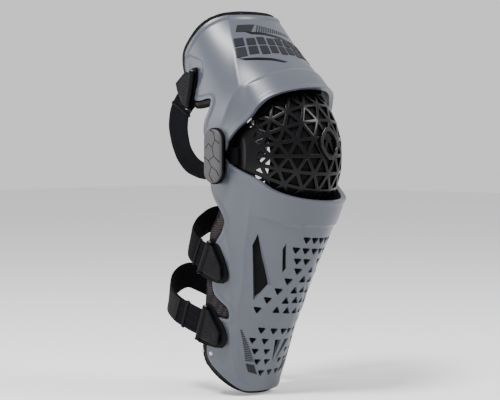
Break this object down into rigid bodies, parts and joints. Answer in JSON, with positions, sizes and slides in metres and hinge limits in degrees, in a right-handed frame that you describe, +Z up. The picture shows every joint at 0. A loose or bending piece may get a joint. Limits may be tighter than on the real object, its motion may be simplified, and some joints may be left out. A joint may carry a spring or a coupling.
{
  "type": "hinged knee and shin guard",
  "caption": "Hinged motorcycle knee and shin guard: thigh and shin shells joined by a side pivot hinge that carries an open lattice knee cup, with liner pads and calf straps.",
  "frame": {"origin": "knee centre, midway between the upper and lower hinge axes and midway between the two sides", "axes": "+Z up the standing leg, -Y towards the front of the knee, +X lateral"},
  "size_m": [0.1584, 0.2088, 0.4054],
  "materials": {
    "shell_grey": "satin moulded grey composite",
    "liner_weave": "fine brown-grey mesh cloth",
    "pad_foam": "cloth-covered foam",
    "strap_web": "woven webbing",
    "lever_dark": "matt charcoal",
    "clip_black": "matt black",
    "badge_dark": "glossy dark grey",
    "cup_black": "semi-gloss black",
    "cap_grey": "matt warm grey",
    "washer_nylon": "plain black nylon",
    "pin_steel": "plain steel"
  },
  "bodies": {
    "shin": {"shin_shell": "shell_grey", "shin_liner": "liner_weave", "shin_pad": "pad_foam", "upper_calf_strap": "strap_web", "lower_calf_strap": "strap_web", "shin_rivets": "pin_steel", "upper_calf_catch_left": "clip_black", "upper_calf_catch_right": "clip_black", "upper_calf_rod_left": "pin_steel", "upper_calf_rod_right": "pin_steel", "lower_calf_catch_left": "clip_black", "lower_calf_catch_right": "clip_black", "lower_calf_rod_left": "pin_steel", "lower_calf_rod_right": "pin_steel"},
    "knee": {"knee_cup": "cup_black", "knee_pad": "pad_foam", "knee_emblem": "badge_dark", "cup_rivets": "pin_steel", "hinge_link_left": "pin_steel", "hinge_link_right": "pin_steel", "hinge_base_left": "clip_black", "hinge_base_right": "clip_black", "hinge_cap_left": "cap_grey", "hinge_cap_right": "cap_grey", "upper_pins": "pin_steel", "lower_pins": "pin_steel", "upper_spacers": "washer_nylon", "lower_spacers": "washer_nylon"},
    "thigh": {"thigh_shell": "shell_grey", "thigh_liner": "liner_weave", "thigh_pad": "pad_foam", "thigh_badge": "badge_dark", "thigh_strap": "strap_web", "thigh_catch_left": "clip_black", "thigh_catch_right": "clip_black", "thigh_rod_left": "pin_steel", "thigh_rod_right": "pin_steel"},
    "thigh_lever_left": {"thigh_lever_left": "lever_dark"},
    "thigh_lever_right": {"thigh_lever_right": "lever_dark"},
    "upper_calf_lever_left": {"upper_calf_lever_left": "lever_dark"},
    "upper_calf_lever_right": {"upper_calf_lever_right": "lever_dark"},
    "lower_calf_lever_left": {"lower_calf_lever_left": "lever_dark"},
    "lower_calf_lever_right": {"lower_calf_lever_right": "lever_dark"}
  },
  "joints": [
    {"name": "lower_pivot", "type": "hinge", "parent": "shin", "child": "knee", "pos_m": [0, 0, -0.015], "axis": [-1, 0, 0], "range_deg": [-10, 28], "deforming": ["upper_calf_strap", "lower_calf_strap"]},
    {"name": "upper_pivot", "type": "hinge", "parent": "knee", "child": "thigh", "pos_m": [0, 0, 0.015], "axis": [-1, 0, 0], "range_deg": [-15, 40], "deforming": ["thigh_strap"]},
    {"name": "thigh_lever_left_hinge", "type": "hinge", "parent": "thigh", "child": "thigh_lever_left", "pos_m": [-0.07325, 0.03689, 0.06893], "axis": [0, -0.1908, 0.9816], "range_deg": [0, 70]},
    {"name": "thigh_lever_right_hinge", "type": "hinge", "parent": "thigh", "child": "thigh_lever_right", "pos_m": [0.07325, 0.03689, 0.06893], "axis": [0, 0.1908, -0.9816], "range_deg": [0, 70]},
    {"name": "upper_calf_lever_left_hinge", "type": "hinge", "parent": "shin", "child": "upper_calf_lever_left", "pos_m": [-0.06807, 0.02053, -0.10596], "axis": [0, 0.4067, -0.9135], "range_deg": [0, 70]},
    {"name": "upper_calf_lever_right_hinge", "type": "hinge", "parent": "shin", "child": "upper_calf_lever_right", "pos_m": [0.06807, 0.02053, -0.10596], "axis": [0, -0.4067, 0.9135], "range_deg": [0, 70]},
    {"name": "lower_calf_lever_left_hinge", "type": "hinge", "parent": "shin", "child": "lower_calf_lever_left", "pos_m": [-0.06086, 0.03176, -0.17603], "axis": [0, 0.309, -0.9511], "range_deg": [0, 70]},
    {"name": "lower_calf_lever_right_hinge", "type": "hinge", "parent": "shin", "child": "lower_calf_lever_right", "pos_m": [0.06086, 0.03176, -0.17603], "axis": [0, -0.309, 0.9511], "range_deg": [0, 70]}
  ]
}
